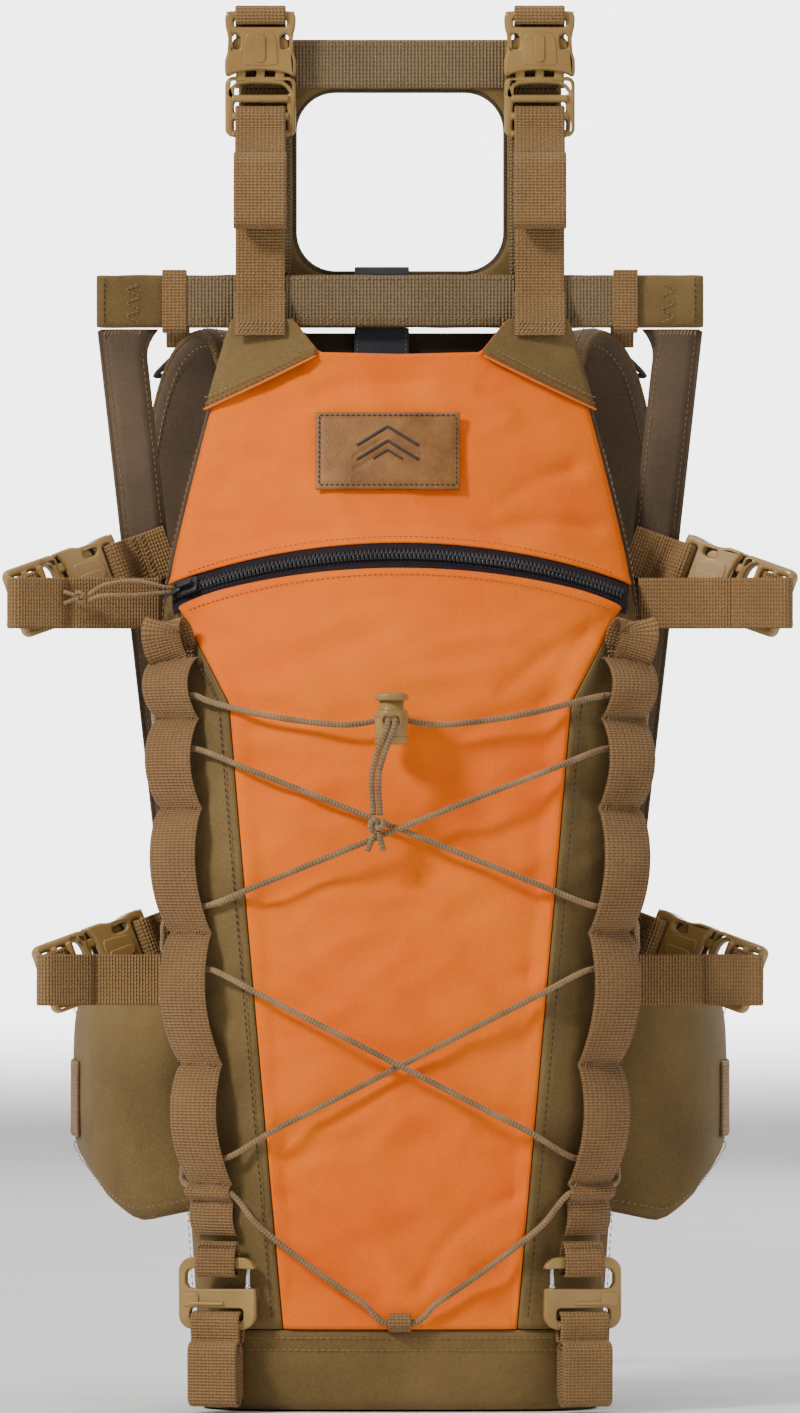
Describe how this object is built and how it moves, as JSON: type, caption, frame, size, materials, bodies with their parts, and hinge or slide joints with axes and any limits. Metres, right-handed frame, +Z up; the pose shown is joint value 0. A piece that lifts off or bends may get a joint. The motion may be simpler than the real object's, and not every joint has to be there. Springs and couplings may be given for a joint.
{
  "type": "framed hiking backpack",
  "caption": "Slim zipped daypack on a lightweight internal frame, with laced front, telescoping top loop, daisy chains, compression straps, padded harness and hip belt.",
  "frame": {"origin": "middle of the bag's base, on the surface the pack stands on", "axes": "+Z up along the pack's height, -Y out of the bag's front, +Y towards the wearer, +X to the right as seen from the front"},
  "size_m": [0.3928, 0.3608, 0.6899],
  "materials": {
    "coyote_fabric": "woven nylon, matte",
    "orange_fabric": "blaze orange woven nylon, matte",
    "brown_fabric": "grey-brown woven nylon, matte",
    "webbing": "coyote nylon webbing, ribbed",
    "elastic_cord": "braided elastic cord",
    "mesh_fabric": "spacer mesh, matte",
    "tag_fabric": "grey woven tape",
    "zip_fabric": "black zipper tape",
    "zip_black": "black nylon coil and lacquered slider",
    "leather": "veg-tan patch, satin",
    "moulding": "tan acetal moulding, satin",
    "composite": "black carbon-filled rod and sleeve, satin",
    "frame_sheet": "thin stiffening sheet, matte",
    "steel_wire": "bright steel wire"
  },
  "bodies": {
    "pack": {"frame_stays": "composite", "frame_sleeves": "brown_fabric", "crossbar_tube": "composite", "crossbar_cover": "coyote_fabric", "popup_guides": "composite", "frame_sheet": "frame_sheet", "frame_tag": "tag_fabric", "back_pad": "mesh_fabric", "lumbar_pad": "mesh_fabric", "yoke_pad": "brown_fabric", "bag_front_upper": "orange_fabric", "bag_front_lower": "orange_fabric", "bag_sides": "coyote_fabric", "bag_base": "coyote_fabric", "bag_back": "coyote_fabric", "corner_patches": "coyote_fabric", "badge_patch": "leather", "zip_tape": "zip_fabric", "zip_coil": "zip_black", "daisy_left": "webbing", "daisy_right": "webbing", "bungee_cord": "elastic_cord", "bungee_anchor": "webbing", "side_tabs": "webbing", "side_buckle_bodies": "moulding", "side_straps": "webbing", "top_straps": "webbing", "gate_hooks": "moulding", "hook_straps": "webbing", "strap_webs": "webbing", "load_lifters": "webbing"},
    "popup": {"popup_hoop": "composite", "popup_cover": "coyote_fabric", "top_tabs": "webbing", "top_buckle_bodies": "moulding"},
    "top_plug_l": {"top_plug_left": "moulding"},
    "top_plug_r": {"top_plug_right": "moulding"},
    "side_plug_ul": {"side_plug_upper_left": "moulding"},
    "side_plug_ur": {"side_plug_upper_right": "moulding"},
    "side_plug_ll": {"side_plug_lower_left": "moulding"},
    "side_plug_lr": {"side_plug_lower_right": "moulding"},
    "slider": {"zip_slider": "zip_black", "zip_pull": "elastic_cord"},
    "lock": {"cord_lock": "moulding", "bungee_tails": "elastic_cord"},
    "lock_button": {"cord_lock_button": "moulding"},
    "gate_l": {"gate_wire_left": "steel_wire"},
    "gate_r": {"gate_wire_right": "steel_wire"},
    "harness": {"shoulder_straps": "brown_fabric", "ladder_locks": "moulding", "lifter_rings": "steel_wire"},
    "sternum": {"sternum_webs": "webbing", "sternum_buckle_body": "moulding"},
    "sternum_free": {"sternum_plug": "moulding"},
    "belt_left": {"hip_wing_left": "coyote_fabric", "hip_web_left": "webbing", "hip_plug": "moulding"},
    "belt_right": {"hip_wing_right": "coyote_fabric", "hip_web_right": "webbing", "hip_buckle_body": "moulding"}
  },
  "joints": [
    {"name": "popup_slide", "type": "slide", "parent": "pack", "child": "popup", "axis": [0, 0, 1], "range_m": [-0.04, 0], "deforming": ["top_straps"]},
    {"name": "top_left_release", "type": "slide", "parent": "popup", "child": "top_plug_l", "axis": [0, 0, -1], "range_m": [0, 0.022], "deforming": ["top_straps"]},
    {"name": "top_right_release", "type": "slide", "parent": "popup", "child": "top_plug_r", "axis": [0, 0, -1], "range_m": [0, 0.022], "deforming": ["top_straps"]},
    {"name": "side_upper_left_release", "type": "slide", "parent": "pack", "child": "side_plug_ul", "axis": [-0.8373, -0.454, -0.3047], "range_m": [0, 0.022], "deforming": ["side_straps"]},
    {"name": "side_upper_right_release", "type": "slide", "parent": "pack", "child": "side_plug_ur", "axis": [0.8373, -0.454, -0.3047], "range_m": [0, 0.022], "deforming": ["side_straps"]},
    {"name": "side_lower_left_release", "type": "slide", "parent": "pack", "child": "side_plug_ll", "axis": [-0.8373, -0.454, -0.3047], "range_m": [0, 0.022], "deforming": ["side_straps"]},
    {"name": "side_lower_right_release", "type": "slide", "parent": "pack", "child": "side_plug_lr", "axis": [0.8373, -0.454, -0.3047], "range_m": [0, 0.022], "deforming": ["side_straps"]},
    {"name": "zip_slide", "type": "hinge", "parent": "pack", "child": "slider", "pos_m": [0, 0.14751, 0.31075], "axis": [0, 0.5592, 0.829], "range_deg": [0, 65]},
    {"name": "cord_lock_slide", "type": "slide", "parent": "pack", "child": "lock", "axis": [0, -0.19, -0.9818], "range_m": [0, 0.02], "deforming": ["bungee_cord"]},
    {"name": "cord_lock_press", "type": "slide", "parent": "lock", "child": "lock_button", "axis": [0, 0, -1], "range_m": [0, 0.003], "stiffness_N_per_m": 200, "springref_m": -0.002},
    {"name": "gate_left_open", "type": "hinge", "parent": "pack", "child": "gate_l", "pos_m": [-0.07376, -0.05329, 0.0612], "axis": [-0.309, -0.9511, 0], "range_deg": [0, 35], "stiffness_Nm_per_rad": 0.01, "springref_deg": -17.19},
    {"name": "gate_right_open", "type": "hinge", "parent": "pack", "child": "gate_r", "pos_m": [0.07376, -0.05329, 0.0612], "axis": [-0.309, 0.9511, 0], "range_deg": [0, 35], "stiffness_Nm_per_rad": 0.01, "springref_deg": -17.19},
    {"name": "shoulder_swing", "type": "hinge", "parent": "pack", "child": "harness", "pos_m": [0, 0.101, 0.495], "axis": [1, 0, 0], "range_deg": [0, 35], "deforming": ["strap_webs", "load_lifters"]},
    {"name": "sternum_slide", "type": "slide", "parent": "harness", "child": "sternum", "axis": [0, 0, 1], "range_m": [-0.03, 0.03]},
    {"name": "sternum_release", "type": "slide", "parent": "sternum", "child": "sternum_free", "axis": [-1, 0, 0], "range_m": [0, 0.018], "deforming": ["sternum_webs"]},
    {"name": "hip_wing_left_swing", "type": "hinge", "parent": "pack", "child": "belt_left", "pos_m": [-0.091, 0.077, 0.146], "axis": [0, 0, 1], "range_deg": [-3, 40]},
    {"name": "hip_wing_right_swing", "type": "hinge", "parent": "pack", "child": "belt_right", "pos_m": [0.091, 0.077, 0.146], "axis": [0, 0, -1], "range_deg": [-3, 40]}
  ]
}
